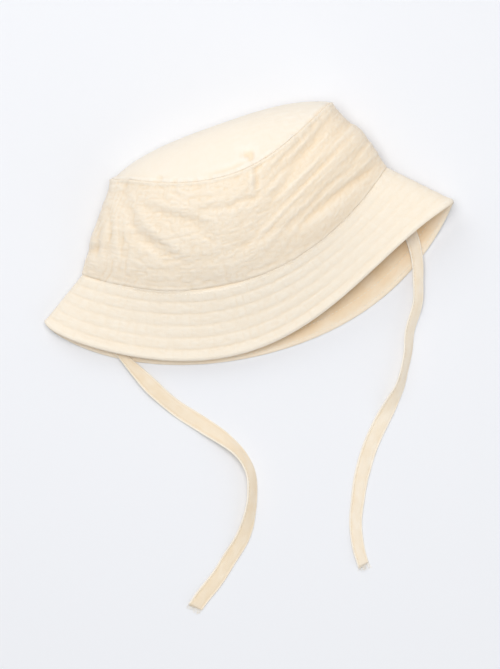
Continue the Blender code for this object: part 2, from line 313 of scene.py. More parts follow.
streakSet = {
    "height": 0.00098, "turn": 27, "bend": 0.35, "wideCell": (0.070, 0.0054), "narrowCell": (0.052, 0.0030),
    "narrowGain": 0.7, "straightCell": (0.030, 0.0062), "straightGain": 0.35,
    "creaseX": 0.084, "creaseY": 0.012, "creaseSlope": 0.30, "creaseFade": 0.006, "calmBelow": 0.85,
}
# how plump the brim's quilting is at places across the hat: fullest in the middle, smooth at the right
quiltSet = {
    "rows": 5, "height": 0.00050, "roundness": 0.38, "ripple": 0.00024, "rippleCell": (0.0046, 0.0088),
    "rippleBend": 0.4, "hem": 0.00045, "hemWidth": 0.30,
    "plumpAt": (-0.13, -0.08, -0.03, 0.03, 0.07, 0.13), "plump": (0.9, 1.0, 1.5, 1.4, 0.72, 0.60),
}
# a ridge or a groove is given as its distance from the seam and its width
seamSet = {
    "ridge": 0.00085, "groove": 0.00028, "tipRidge": (0.0018, 0.0014), "tipGroove": 0.0007,
    "headShare": 0.5, "headRidge": (0.0020, 0.0015), "headGroove": 0.0009,
    "pucker": 0.00055, "puckerCell": (0.0052, 0.05), "tipPucker": 0.008, "headPucker": 0.006,
    "puckerOffTip": 0.9, "headPuckerShare": 0.6,
    "sideGroove": 0.0003, "sideWidth": 0.0010, "sideRun": 0.05,
}
# how far the cloth runs across each zone, and from the tip's middle to the brim
runSet = {"tip": 0.060, "tipFront": 0.048, "band": 0.085, "toBrim": 0.145, "brim": 0.053}
awayFromZero = 0.5  # keeps the places given to the noise positive
# soft folds on the upper side: the points they run through, half width, height
foldSet = [
    (((-0.070, 0.060), (-0.070, 0.031), (-0.058, 0.014), (-0.045, 0.000)), 0.0058, -0.0019),
    (((-0.064, 0.058), (-0.064, 0.036), (-0.052, 0.018), (-0.039, 0.003)), 0.0042, 0.0009),
    (((-0.060, 0.048), (-0.043, 0.034), (-0.027, 0.023), (-0.021, 0.010)), 0.0056, -0.0018),
    (((-0.056, 0.052), (-0.038, 0.038), (-0.021, 0.027)), 0.0042, 0.0008),
    (((-0.029, 0.031), (0.008, 0.026), (0.031, 0.025)), 0.0036, -0.0012),
    (((-0.034, -0.004), (0.005, -0.004), (0.047, 0.004)), 0.0036, -0.0010),
    (((-0.091, 0.053), (-0.103, 0.026)), 0.0026, -0.0010),
    (((-0.084, 0.050), (-0.094, 0.020)), 0.0024, -0.0009),
    (((-0.078, 0.044), (-0.086, 0.010)), 0.0024, -0.0008),
    (((-0.118, 0.034), (-0.098, 0.029)), 0.0042, -0.0030),
    (((0.044, -0.003), (0.084, 0.0105), (0.114, 0.0205)), 0.0030, -0.0024),
    (((0.050, -0.012), (0.100, 0.008)), 0.0065, 0.0016),
    (((0.012, 0.005), (0.054, 0.036), (0.096, 0.068)), 0.0040, -0.0014),
    (((0.0228, 0.0455), (0.0180, 0.0300)), 0.0020, 0.0011),
    (((0.0272, 0.0450), (0.0225, 0.0300)), 0.0020, -0.0012),
    (((0.040, 0.007), (0.104, 0.034)), 0.0034, -0.0013),
    (((0.016, 0.027), (0.088, 0.055)), 0.0036, -0.0012),
]
# small pinches and dimples of the crown's flat top and its seam
dimpleSet = [
    (((0.0215, 0.0580), (0.0265, 0.0568), (0.0258, 0.0515)), 0.0030, -0.0026),
    (((-0.008, 0.0520), (0.011, 0.0505), (0.024, 0.0522)), 0.0024, -0.0010),
    (((-0.073, 0.074), (-0.066, 0.069)), 0.0030, -0.0016),
    (((-0.044, 0.062), (-0.038, 0.061)), 0.0030, -0.0014),
]
foldFade = {"least": 0.25, "most": 0.75, "bluntness": 0.7, "ends": (0.02, 0.98)}


def eased(t):
    return t * t * t * (t * (t * 6 - 15) + 10)


def smoothNoise(u, v, cell, seed, around=None):
    # even random bumps from -1 to 1, joined up round the hat where around is given
    size = 256
    grid = np.random.default_rng(seed).uniform(-1, 1, (size, size))
    a, b = u / cell[0], v / cell[1]
    columns = max(3, round(around / cell[0])) if around else size
    if around:
        a = a * columns / (around / cell[0])
    i, j = np.floor(a).astype(int), np.floor(b).astype(int)
    fa, fb = eased(a - i), eased(b - j)

    def at(di, dj):
        return grid[(i + di) % columns % size, (j + dj) % size]

    low = at(0, 0) * (1 - fa) + at(1, 0) * fa
    high = at(0, 1) * (1 - fa) + at(1, 1) * fa
    return low * (1 - fb) + high * fb


def bell(distance, width):
    return np.exp(-((distance / width) ** 2))


def rising(place, start, fade, full=1):
    # grows smoothly from 0 to full past the start
    return full / (1 + np.exp(-(place - start) / fade))


def toPath(point, path):
    # distance from a path of straight steps, and how far along it
    gap = np.full(point.shape[:-1], 1e3)
    share = np.zeros(gap.shape)
    for i, (start, end) in enumerate(zip(path, path[1:])):
        a, d = np.array(start), np.array(end) - np.array(start)
        along = np.clip(((point[..., 0] - a[0]) * d[0] + (point[..., 1] - a[1]) * d[1]) / (d @ d), 0, 1)
        here = np.hypot(point[..., 0] - a[0] - along * d[0], point[..., 1] - a[1] - along * d[1])
        share = np.where(here < gap, (i + along) / (len(path) - 1), share)
        gap = np.minimum(gap, here)
    return gap, share


def puffs(u, v, cell, seed, around=None):
    # rounded cells with sharp valleys between them, as crinkled gauze has
    return np.abs(smoothNoise(u, v, cell, seed, around)) ** 0.6 - 0.5


def zoneShares(along, angle, x):
    # how far each place belongs to a zone, to the upper side and to the hat's left or right
    c, q = crinkleSet, quiltSet
    on = {"tip": np.clip((band - along) * c["zoneFade"], 0, 1)}
    on["brim"] = np.clip((along - brim) * c["zoneFade"], 0, 1)
    on["band"] = 1 - np.maximum(on["tip"], on["brim"])
    on["top"] = np.clip(np.sin(angle) * c["topFade"] + c["topFrom"], 0, 1)
    on["plump"] = np.interp(x, q["plumpAt"], q["plump"]) * on["brim"]
    on["left"] = rising(-x, c["leftFrom"], c["leftFade"]) * on["top"]
    on["right"] = rising(x, c["rightFrom"], c["rightFade"]) * on["top"]
    return on


def crinkles(on, bend, u, v):
    # the crinkle runs round the hat, and upright at its left
    c, seed = crinkleSet, crinkleSet["seed"]
    level = puffs(u, v + bend, c["puffCell"], seed + 2, hatRound)
    upright = puffs(u + bend, v, c["uprightCell"], seed + 12, hatRound)
    crinkle = level * (1 - on["left"]) + c["uprightGain"] * upright * on["left"]
    share = (1 - c["smoothedRight"] * on["right"]) * on["band"] + c["puffOnBrim"] * on["plump"]
    fine = puffs(u, v, c["fineCell"], seed + 3, hatRound)
    return c["puff"] * crinkle * share + c["finePuff"] * fine * (on["band"] + c["fineOnBrim"] * on["plump"])


def tipCrinkles(point, bend):
    # the tip's crinkle follows its own flat, and is stronger at its right and low down
    c, t, seed = crinkleSet, tipCrinkleSet, crinkleSet["seed"]
    x, y, z = point[..., 0], point[..., 1], point[..., 2]
    flatX, flatZ = x + awayFromZero, z - t["lean"] * y + awayFromZero
    lower = np.clip((t["lowerFrom"] - z) / t["lowerFade"], 0, 1)
    right = t["least"] + rising(x, t["rightFrom"], t["rightFade"], t["rightGain"])
    share = np.maximum(right, t["lowerGain"] * lower)
    large = puffs(flatX, flatZ + t["bend"] * bend, t["cell"], seed + 2)
    fine = puffs(flatX, flatZ, c["fineCell"], seed + 3)
    return (c["puff"] * t["puffShare"] * large + c["finePuff"] * t["fineShare"] * fine) * share


def streaks(on, point, bend, u, v):
    # long streaks, drawn out towards the right corner of the tip
    k, seed = streakSet, crinkleSet["seed"]
    x, y = point[..., 0], point[..., 1]
    cos, sin = math.cos(math.radians(k["turn"])), math.sin(math.radians(k["turn"]))
    run = x * cos + y * sin + awayFromZero
    cross = y * cos - x * sin + awayFromZero + k["bend"] * bend
    narrow = smoothNoise(run, cross, k["narrowCell"], seed + 6)
    slanted = smoothNoise(run, cross, k["wideCell"], seed + 5) + k["narrowGain"] * narrow
    straight = smoothNoise(u, v + 2 * bend, k["straightCell"], seed + 5, hatRound)
    crease = k["creaseY"] + k["creaseSlope"] * (x - k["creaseX"])
    below = np.clip((crease - y) / k["creaseFade"], 0, 1) * on["right"]
    calmed = slanted * on["right"] * (1 - k["calmBelow"] * below)
    return calmed + k["straightGain"] * straight * (1 - on["right"])


def withFolds(relief, on, point):
    f = foldFade
    for folds, where in ((foldSet, on["band"]), (dimpleSet, np.maximum(on["tip"], on["band"]))):
        for path, width, height in folds:
            gap, share = toPath(point, path)
            fade = f["least"] + f["most"] * np.sin(math.pi * np.clip(share, *f["ends"])) ** f["bluntness"]
            relief = relief + height * bell(gap, width) * fade * on["top"] * where
    return relief


def withQuilting(relief, on, along, bend, u, v):
    # the brim swells between its rows of stitches, with small ripples across it
    q = quiltSet
    rows = q["rows"] + 1
    phase = np.clip(along - brim, 0, 1) * rows
    puff = np.abs(np.sin(math.pi * phase)) ** q["roundness"]
    relief = relief + q["height"] * (puff - 0.5) * on["plump"]
    ripples = puffs(u + q["rippleBend"] * bend, v, q["rippleCell"], crinkleSet["seed"] + 8, hatRound)
    relief = relief + q["ripple"] * ripples * puff * on["plump"]
    return relief + q["hem"] * bell(phase - rows + q["hemWidth"], q["hemWidth"]) * on["brim"]


def withSeams(relief, on, along, angle, u, v):
    # each seam is a groove with its allowance standing up beside it, and gathers run into it
    m, r = seamSet, runSet
    fromTip = (along - band) * np.where(along > band, r["band"], r["tipFront"])
    fromHead = (along - brim) * np.where(along > brim, r["brim"], r["band"])
    place, width = m["tipRidge"]
    relief = relief + m["ridge"] * bell(fromTip - place, width) - m["groove"] * bell(fromTip, m["tipGroove"])
    place, width = m["headRidge"]
    relief = relief + m["headShare"] * m["ridge"] * bell(fromHead + place, width)
    relief = relief - m["headShare"] * m["groove"] * bell(fromHead, m["headGroove"])
    gathers = smoothNoise(u, v, m["puckerCell"], crinkleSet["seed"] + 9, hatRound)
    atTip = bell(fromTip, m["tipPucker"]) * (1 - m["puckerOffTip"] * on["tip"])
    atHead = m["headPuckerShare"] * bell(fromHead, m["headPucker"])
    relief = relief + m["pucker"] * gathers * (atTip + atHead)
    fromSide = np.abs(np.sin(angle)) * m["sideRun"]
    return relief - m["sideGroove"] * bell(fromSide, m["sideWidth"]) * (along > band)


def clothRelief(along, angle, point, u, v):
    # how far the outside stands out from the smooth shape
    c, seed = crinkleSet, crinkleSet["seed"]
    on = zoneShares(along, angle, point[..., 0])
    bend = c["bend"] * smoothNoise(u, v, c["bendCell"], seed + 1, hatRound)
    relief = crinkles(on, bend, u, v) + tipCrinkles(point, bend) * on["tip"]
    relief = relief + streakSet["height"] * streaks(on, point, bend, u, v) * on["band"]
    wave = smoothNoise(u, v + bend, c["waveCell"], seed + 7, hatRound)
    relief = relief + c["wave"] * wave * (on["band"] + c["waveOnTip"] * on["tip"])
    relief = withFolds(relief, on, point)
    relief = withQuilting(relief, on, along, bend, u, v)
    return withSeams(relief, on, along, angle, u, v)


def lengthsAlong(line):
    # how far each point is along its line
    return np.concatenate([[0], np.cumsum(np.linalg.norm(np.diff(line, axis=0), axis=1))])


def evenAngles(first, last, count, along):
    fine = np.linspace(first, last, 6001)
    line, _ = smoothSurface(np.full(fine.shape, along), fine)
    run = lengthsAlong(line)
    return np.interp(np.linspace(0, run[-1], count), run, fine)


# distances round the hat are measured at the head seam
roundAngles = np.linspace(0, fullTurn, 8001)
roundRun = lengthsAlong(smoothSurface(np.full(roundAngles.shape, float(brim)), roundAngles)[0])
hatRound = float(roundRun[-1])
tableSet = {"gap": 0.00005, "press": 0.9, "flatBelow": 0.012, "flatFade": 0.010, "flatten": 0.85}


def clothPoint(along, angle, depth):
    # a point of one face of a layer, with the cloth's own relief
    point, inward = smoothSurface(along, angle)
    # the slope is read towards the middle of each zone, so never across a seam
    step = 1e-3
    alongSide = np.where(along > brim + 0.5, -step, step)
    alongSide = np.where((along < brim) & (along > band + 0.5), -step, alongSide)
    alongSide = np.where((along <= band) & (along > band - 0.5), -step, alongSide)
    nextAlong = (smoothSurface(along + alongSide, angle)[0] - point) * np.sign(alongSide)[..., None]
    nextAngle = smoothSurface(along, angle + step)[0] - smoothSurface(along, angle - step)[0]
    normal = np.cross(nextAlong, nextAngle)
    normal /= np.maximum(np.linalg.norm(normal, axis=-1, keepdims=True), 1e-12)
    normal *= np.where((normal * inward).sum(-1, keepdims=True) > 0, -1, 1)
    u = np.interp(angle % fullTurn, roundAngles, roundRun)
    onBand = runSet["tip"] + (along - band) * runSet["band"]
    onBrim = runSet["toBrim"] + (along - brim) * runSet["brim"]
    v = np.where(along <= band, along * runSet["tip"], np.where(along <= brim, onBand, onBrim))
    relief = clothRelief(along, angle, point, u, v)
    # the side on the table is flattened, and nothing goes below the table
    under = np.clip((tableSet["flatBelow"] - point[..., 2]) / tableSet["flatFade"], 0, 1)
    relief = relief * (1 - tableSet["flatten"] * under)
    depth = np.asarray(depth)
    made = point + normal * relief[..., None] + inward * depth[..., None]
    made[..., 2] = np.maximum(made[..., 2], depth * tableSet["press"] + tableSet["gap"])
    return made, np.stack([u, v], axis=-1), relief


def blurred(grid, reach, wrap):
    kernel = np.hanning(2 * reach + 3)[1:-1]
    kernel /= kernel.sum()
    for axis in (0, 1):
        pad = [(reach, reach) if i == axis else (0, 0) for i in (0, 1)]
        padded = np.pad(grid, pad, mode="wrap" if wrap and axis == 1 else "edge")
        grid = np.apply_along_axis(lambda line: np.convolve(line, kernel, "valid"), axis, padded)
    return grid


# painted shade in the cloth's valleys, of two sizes: how wide each looks around, and the depth that counts
# as its bottom
paintedShadeSet = {"valleys": ((0.0035, 0.00050), (0.014, 0.0028)), "crest": -0.35, "gain": 0.55, "open": 0.18}


def paintedShadeOf(relief, pitch, wrap, extraPaintedShade=0.0):
    # the painted shade of each point, from 0 on a crest to 1 in the bottom of a valley, with the extra
    # painted shade added
    deep = np.zeros(relief.shape)
    for size, depth in paintedShadeSet["valleys"]:
        around = blurred(relief, max(2, round(size / pitch)), wrap)
        deep += np.clip((around - relief) / depth, paintedShadeSet["crest"], 1)
    return np.clip(paintedShadeSet["gain"] * deep + paintedShadeSet["open"] + extraPaintedShade, 0, 1)


def meshObject(name, points, faces, uv, dips, material):
    # uv is given for each corner of the faces, and dips, the painted shade, for each point
    mesh = bpy.data.meshes.new(name)
    mesh.from_pydata(points.tolist(), [], faces)
    mesh.uv_layers.new(name="cloth").data.foreach_set("uv", uv.reshape(-1))
    # the dip attribute carries the painted shade into the cloth materials
    mesh.attributes.new("dip", "FLOAT", "POINT").data.foreach_set("value", dips)
    mesh.shade_smooth()
    mesh.materials.append(material)
    return placed(name, mesh)


def volumeOf(corners):
    # enough to tell which way the faces look
    return np.einsum("ij,ij->i", corners[:, 0], np.cross(corners[:, 1], corners[:, 2])).sum()


def closedSheet(name, outer, inner, outerUv, innerUv, wrap, material, dips):
    # joins two faces of a layer into one closed body
    rows, columns = outer.shape[:2]
    points = np.concatenate([outer.reshape(-1, 3), inner.reshape(-1, 3)])
    flat = np.concatenate([outerUv.reshape(-1, 2), innerUv.reshape(-1, 2)])
    dips = np.tile(dips.reshape(-1), 2)
    index = np.arange(rows * columns).reshape(rows, columns)
    across = np.concatenate([index, index[:, :1]], axis=1) if wrap else index
    a, b, c, d = across[:-1, :-1], across[:-1, 1:], across[1:, 1:], across[1:, :-1]
    top = np.stack([a, b, c, d], -1).reshape(-1, 4)
    under = top[:, ::-1] + rows * columns
    rim = across[-1][::-1]
    # a sheet that goes all the way round has only its rim, and its middle is closed below
    borders = [rim] if wrap else [across[0], rim, across[:, 0][::-1], across[:, -1]]
    sides = []
    for line in borders:
        below = line + rows * columns
        sides.append(np.stack([line[1:], line[:-1], below[:-1], below[1:]], -1))
    faces = np.concatenate([top, under, *sides])
    fans = np.zeros((0, 3), int)
    if wrap:
        for start, turned in ((0, False), (rows * columns, True)):
            ring = slice(start, start + columns)
            middle = len(points)
            points = np.concatenate([points, points[ring].mean(0, keepdims=True)])
            flat = np.concatenate([flat, flat[ring].mean(0, keepdims=True)])
            dips = np.append(dips, dips[ring].mean())
            first, second = np.arange(columns), (np.arange(columns) + 1) % columns
            pair = (second, first) if turned else (first, second)
            fan = np.stack([np.full(columns, middle), pair[1] + start, pair[0] + start], -1)
            fans = np.concatenate([fans, fan])
    loops = np.concatenate([faces.reshape(-1), fans.reshape(-1)])
    made = meshObject(name, points, faces.tolist() + fans.tolist(), flat[loops], dips, material)
    corners = points[faces]
    if volumeOf(corners[:, :3]) + volumeOf(corners[:, [0, 2, 3]]) < 0:
        made.data.flip_normals()
    return made


# the brim's layers come together at its edge, where they are turned in
edgeSet = {"from": 2.965, "over": 0.035, "middle": 0.0013, "keep": 0.18}


def rolledDepth(along, depths, face, zone):
    depth = depths[face]
    if zone != brim:
        return np.full(along.shape, depth)
    near = np.clip((along - edgeSet["from"]) / edgeSet["over"], 0, 1) ** 2
    return depth + (edgeSet["middle"] + (depth - edgeSet["middle"]) * edgeSet["keep"] - depth) * near


# the length and width that set how many points a panel gets
panelSet = {band: (0.095, 0.266), brim: (0.057, 0.335)}
# painted shade: more on the band's right, where its streaks lie close together, and in the pleats and deep
# inside the facing, less at the facing's edge
shadeSet = {
    "streaks": 0.30, "streaksFrom": 0.030, "streaksFade": 0.014,
    "depth": 0.75, "depthOver": 0.55, "depthPower": 0.8,
    "pleats": 0.30, "pleatCell": (0.0085, 0.060), "pleatPower": 0.5, "edge": 0.30, "edgeWidth": 0.06,
}


# the extra painted shade of a panel, laid over the painted shade of its valleys
def panelPaintedShade(zone, layer, along, outer, uv):
    g = shadeSet
    if layer == "facing":
        across = along - zone
        seed = crinkleSet["seed"] + 20
        pleats = smoothNoise(uv[..., 0], uv[..., 1], g["pleatCell"], seed, hatRound)
        depthIn = np.clip((1 - across) / g["depthOver"], 0, 1)
        shade = g["depth"] * depthIn ** g["depthPower"] + g["pleats"] * pleats * depthIn ** g["pleatPower"]
        return shade - g["edge"] * bell(across - 1, g["edgeWidth"])
    if zone == band:
        return rising(outer[..., 0], g["streaksFrom"], g["streaksFade"], g["streaks"])
    return 0.0


def clothPanel(name, zone, layer, front, pitch, material):
    first, last = (0.0, math.pi) if front else (math.pi, fullTurn)
    length, wide = panelSet[zone]
    depths = layerSet[layer]
    angles = evenAngles(first, last, int(wide / pitch) + 1, zone + 0.6)
    alongs = np.linspace(zone, zone + 1, int(length / pitch) + 1)
    alongs[0] += 1e-6  # just past the seam, so on this zone
    along, angle = np.meshgrid(alongs, angles, indexing="ij")
    outer, outerUv, relief = clothPoint(along, angle, rolledDepth(along, depths, 0, zone))
    inner, innerUv, _ = clothPoint(along, angle, rolledDepth(along, depths, 1, zone))
    dips = paintedShadeOf(relief, pitch, False, panelPaintedShade(zone, layer, along, outer, outerUv))
    return closedSheet(name, outer, inner, outerUv, innerUv, False, material, dips)


# the lengths that set how many points the tip gets, how they crowd to its seam, and its closed middle
tipSet = {"round": 0.414, "across": 0.058, "crowding": 1.25, "middle": 0.004}


def clothTip(name, layer, pitch, material):
    outerDepth, innerDepth = layerSet[layer]
    angles = evenAngles(0, fullTurn, int(tipSet["round"] / pitch) + 1, 1.0)[:-1]
    alongs = 1 - (1 - np.linspace(0, 1, int(tipSet["across"] / pitch) + 1)) ** tipSet["crowding"]
    alongs[0] = tipSet["middle"]
    along, angle = np.meshgrid(alongs, angles, indexing="ij")
    outer, _, relief = clothPoint(along, angle, np.full(along.shape, outerDepth))
    inner, _, _ = clothPoint(along, angle, np.full(along.shape, innerDepth))
    flat = np.stack([outer[..., 0], outer[..., 2]], -1)
    return closedSheet(name, outer, inner, flat, flat, True, material, paintedShadeOf(relief, pitch, True))


def finishSheet(piece, node, slotName, flat, area):
    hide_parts(node)
    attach(piece, "hat")
    print("made", node)


# the spacing of points, finest on the cloth that shows most
pitchSet = {"shell": 0.00085, "inside": 0.0016, "core": 0.004}
# each sheet's flat size and area before it was sewn
cutSet = {
    (band, "front"): ((0.275, 0.098), 0.0200), (band, "back"): ((0.275, 0.101), 0.0197),
    (brim, "front"): ((0.360, 0.080), 0.0154), (brim, "back"): ((0.360, 0.085), 0.0181),
    "tip": ((0.175, 0.100), 0.0125),
}
for start, zone, layer, grain, material, slotName in (
    ("band", band, "shell", "shell", shadedBandCloth, "shell_cloth"),
    ("band_lining", band, "lining", "inside", shadedLiningCloth, "lining_cloth"),
    ("brim_top", brim, "shell", "shell", litBrimCloth, "shell_cloth"),
    ("brim_facing", brim, "facing", "inside", shadedFacingCloth, "lining_cloth"),
    ("brim_interlining", brim, "core", "core", coreCloth, "interlining"),
):
    for side in ("front", "back"):
        node = start + "_" + side
        panel = clothPanel(node + "_cloth", zone, layer, side == "front", pitchSet[grain], material)
        finishSheet(panel, node, slotName, *cutSet[zone, side])
for node, layer, grain, material, slotName in (
    ("crown_tip", "shell", "shell", litTipCloth, "shell_cloth"),
    ("crown_tip_lining", "lining", "inside", shadedLiningCloth, "lining_cloth"),
):
    tip = clothTip(node + "_cloth", layer, pitchSet[grain], material)
    finishSheet(tip, node, slotName, *cutSet["tip"])


def stitchTree():
    # stitches laid along lines
    tree = bpy.data.node_groups.new("stitchesAlong", "GeometryNodeTree")
    sockets = {}
    for label, kind in (("Geometry", "Geometry"), ("Pitch", "Float"), ("Length", "Float"),
                        ("Thickness", "Float"), ("Thread", "Material")):
        made = tree.interface.new_socket(label, in_out="INPUT", socket_type="NodeSocket" + kind)
        sockets[label] = made.identifier
    tree.interface.new_socket("Geometry", in_out="OUTPUT", socket_type="NodeSocketGeometry")
    add = tree.nodes.new
    source, sink = add("NodeGroupInput"), add("NodeGroupOutput")
    toCurve, resample = add("GeometryNodeMeshToCurve"), add("GeometryNodeResampleCurve")
    resample.mode = "LENGTH"
    bead = add("GeometryNodeMeshUVSphere")
    for label, value in (("Segments", 6), ("Rings", 4), ("Radius", 0.5)):
        bead.inputs[label].default_value = value
    shape, size = add("GeometryNodeTransform"), add("ShaderNodeCombineXYZ")
    tangent, turn = add("GeometryNodeInputTangent"), add("FunctionNodeAlignRotationToVector")
    turn.axis = "Z"
    place = add("GeometryNodeInstanceOnPoints")
    real, paint = add("GeometryNodeRealizeInstances"), add("GeometryNodeSetMaterial")
    for giver, output, taker, socket in (
        (source, "Geometry", toCurve, "Mesh"), (toCurve, "Curve", resample, "Curve"),
        (source, "Pitch", resample, "Length"), (source, "Thickness", size, "X"),
        (source, "Thickness", size, "Y"), (source, "Length", size, "Z"),
        (bead, "Mesh", shape, "Geometry"), (size, "Vector", shape, "Scale"),
        (tangent, "Tangent", turn, "Vector"), (resample, "Curve", place, "Points"),
        (shape, "Geometry", place, "Instance"), (turn, "Rotation", place, "Rotation"),
        (place, "Instances", real, "Geometry"), (real, "Geometry", paint, "Geometry"),
        (source, "Thread", paint, "Material"), (paint, "Geometry", sink, "Geometry"),
    ):
        tree.links.new(giver.outputs[output], taker.inputs[socket])
    return tree, sockets


stitchNodes, stitchSockets = stitchTree()


def stitched(name, lines, **sizes):
    # one plain mesh of stitches along these lines
    points, edges = [], []
    for line in lines:
        start = len(points)
        points += [tuple(p) for p in line]
        edges += [(i, i + 1) for i in range(start, len(points) - 1)]
    mesh = bpy.data.meshes.new(name)
    mesh.from_pydata(points, edges, [])
    guide = placed(name + "_guide", mesh)
    sewing = guide.modifiers.new("sewing", "NODES")
    sewing.node_group = stitchNodes
    for label, value in {**sizes, "Thread": threadPaint}.items():
        sewing[stitchSockets[label]] = value
    graph = bpy.context.evaluated_depsgraph_get()
    made = placed(name, bpy.data.meshes.new_from_object(guide.evaluated_get(graph)))
    bpy.data.objects.remove(guide)
    made.data.shade_smooth()
    return made


# the row at the hem lies just inside the brim's edge, and the others between the quilted rows
sewSet = {
    "stitch": {"Pitch": 0.0031, "Length": 0.0023, "Thickness": 0.00042}, "sink": 0.00002, "points": 420,
    "fromSide": 0.004, "spacedAt": 2.9, "hemRow": 2.952, "seamRows": (1.022, 2.05),
}


def clothLine(along, front, depth):
    first = 0 if front else math.pi
    start, end = first + sewSet["fromSide"], first + math.pi - sewSet["fromSide"]
    angles = evenAngles(start, end, sewSet["points"], min(along, sewSet["spacedAt"]))
    points, _, _ = clothPoint(np.full(angles.shape, along), angles, np.full(angles.shape, depth))
    points[:, 2] = np.maximum(points[:, 2], sewSet["stitch"]["Thickness"] / 2 + tableSet["gap"])
    return points


rowAlongs = [brim + (i + 1) / (quiltSet["rows"] + 1) for i in range(quiltSet["rows"])]
rowAlongs.append(sewSet["hemRow"])
for name, alongs, depth in (
    ("brim_topstitching", rowAlongs, sewSet["sink"]),
    ("brim_facing_stitching", rowAlongs, layerSet["facing"][1] - sewSet["sink"]),
    ("seam_topstitching", sewSet["seamRows"], sewSet["sink"]),
):
    lines = [clothLine(along, front, depth) for along in alongs for front in (True, False)]
    stitching = stitched(name, lines, **sewSet["stitch"])
    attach(stitching, "hat")
    print("made", name)

# the two chin ties; a place across a tie goes from -1 to 1, and its stitched edge is at 1
tieSet = {
    "width": 0.0112, "thick": 0.0012, "points": 220, "across": 16, "clothRun": 0.3, "clothHalf": 0.0055,
    "noiseHalf": 0.004, "noiseFrom": 0.02, "routeSteps": 20, "nearest": 24, "heightBlur": 4,
    "rollBlur": 7, "foldBlur": 5, "lift": 0.92, "wobble": 0.06, "wobbleCell": (0.022, 0.1), "wobbleSeed": 31,
    "wideRound": 0.55, "thickRound": 0.9, "crease": 0.00022, "creaseCell": (0.0022, 0.011), "creaseSeed": 41,
    "aboveTable": 0.0001,
}
# ridges and grooves along its edges, each with its share, its place across and its width
tieEdgeSet = {
    "ridges": ((1, 0.93, 0.13), (0.6, -0.93, 0.10)), "grooves": ((1, 0.70, 0.09), (0.6, -0.74, 0.08)),
    "height": 0.0005, "grooveShare": 0.9, "underneath": 0.3,
}
# the cut end is thin, a little ragged and on the slant
tieEndSet = {
    "thin": ((1, 0.35), (2, 0.7), (3, 0.9)), "slant": 0.0013, "ragged": 0.0004,
    "raggedCell": (0.0012, 0.1), "raggedSeed": 51, "noiseHalf": 0.01, "noiseFrom": 0.05,
}
# painted shade on the ties: more all over on the left tie, which lies rolled into shade, less on the ridged
# edges and more in the grooves beside them; the grain is random tone
tieShadeSet = {
    "tie_left": 0.80, "tie_right": 0.48, "ridges": 0.85, "grooves": 0.40,
    "grain": 0.22, "grainCell": (0.0016, 0.006), "grainSeed": 61,
}
tieRowSet = {
    "across": 0.74, "lift": 0.00002, "fromEnds": 3,
    "stitch": {"Pitch": 0.0027, "Length": 0.0020, "Thickness": 0.00032},
}
fraySet = {
    "seeds": {"tie_left": 71, "tie_right": 72}, "threads": 15, "across": 0.9, "inside": 0.0012,
    "reach": (0.0026, 0.0050), "sway": 0.0016, "points": 6, "aboveTable": 0.0002,
    "stitch": {"Pitch": 0.0005, "Length": 0.0009, "Thickness": 0.00030},
}
tackSet = {"turns": 26, "reach": 0.0008, "stitch": {"Pitch": 0.0009, "Length": 0.0016, "Thickness": 0.0005}}
# where each tie is sewn, and the points it runs through from there
tieRoutes = {
    "tie_left": (math.pi, [
        (0.0105, -0.004), (0.0055, -0.020), (0.0020, -0.036), (0.0035, -0.052), (0.0080, -0.066),
        (0.0150, -0.082), (0.0230, -0.099), (0.0325, -0.115), (0.0450, -0.131), (0.0565, -0.146),
        (0.0645, -0.160), (0.0675, -0.175), (0.0645, -0.189), (0.0575, -0.204), (0.0465, -0.219),
        (0.0320, -0.231), (0.0180, -0.242), (0.0050, -0.250), (-0.0035, -0.256)]),
    "tie_right": (0.0, [
        (-0.0105, -0.004), (-0.0060, -0.021), (-0.0020, -0.038), (0.0005, -0.055), (-0.0015, -0.072),
        (-0.0055, -0.085), (-0.0115, -0.101), (-0.0235, -0.118), (-0.0305, -0.133), (-0.0425, -0.152),
        (-0.0525, -0.162), (-0.0685, -0.177), (-0.0805, -0.190), (-0.0925, -0.207), (-0.1005, -0.222),
        (-0.1075, -0.237), (-0.1115, -0.254), (-0.1125, -0.268)]),
}
# how far each tie is rolled onto its edge, at shares of its length, in degrees
tieRolls = {
    "tie_left": ([0, 0.30, 0.40, 0.47, 0.56, 0.62, 0.72, 0.80, 0.88, 1.0],
                 [0, 0, 0, 12, 44, 55, 50, 14, 0, 8]),
    "tie_right": ([0, 0.18, 0.28, 0.38, 0.46, 0.52, 0.57, 0.63, 0.70, 0.90, 1.0],
                  [0, 0, 30, 46, 58, 62, 40, 0, 0, 0, 16]),
}
# where each tie is folded over on itself and so narrower, at shares of its length
tieFolds = {
    "tie_left": ([0, 0.12, 0.18, 0.22, 0.30, 1.0], [1, 0.8, 0.5, 0.6, 1.08, 1]),
    "tie_right": ([0, 0.20, 0.28, 0.40, 0.78, 0.92, 1.0], [1, 0.85, 0.80, 1, 1, 0.84, 0.80]),
}


def smoothRoute(points, count):
    # an even line through the points, bending smoothly at each
    points = np.array(points)
    chain = np.array([2 * points[0] - points[1], *points, 2 * points[-1] - points[-2]])
    fine = []
    for before, start, end, after in zip(chain, chain[1:], chain[2:], chain[3:]):
        for t in np.linspace(0, 1, tieSet["routeSteps"], endpoint=False):
            slope = (end - before) * t
            bend = (2 * before - 5 * start + 4 * end - after) * t**2
            twist = (3 * start - 3 * end + after - before) * t**3
            fine.append((2 * start + slope + bend + twist) / 2)
    fine = np.array([*fine, chain[-2]])
    run = lengthsAlong(fine)
    even = np.linspace(0, run[-1], count)
    return np.stack([np.interp(even, run, fine[:, i]) for i in range(2)], axis=1)


def evened(values, reach):
    # the mean of each value and the ones near it
    count = 2 * reach + 1
    return np.convolve(np.pad(values, reach, mode="edge"), np.ones(count) / count, "valid")


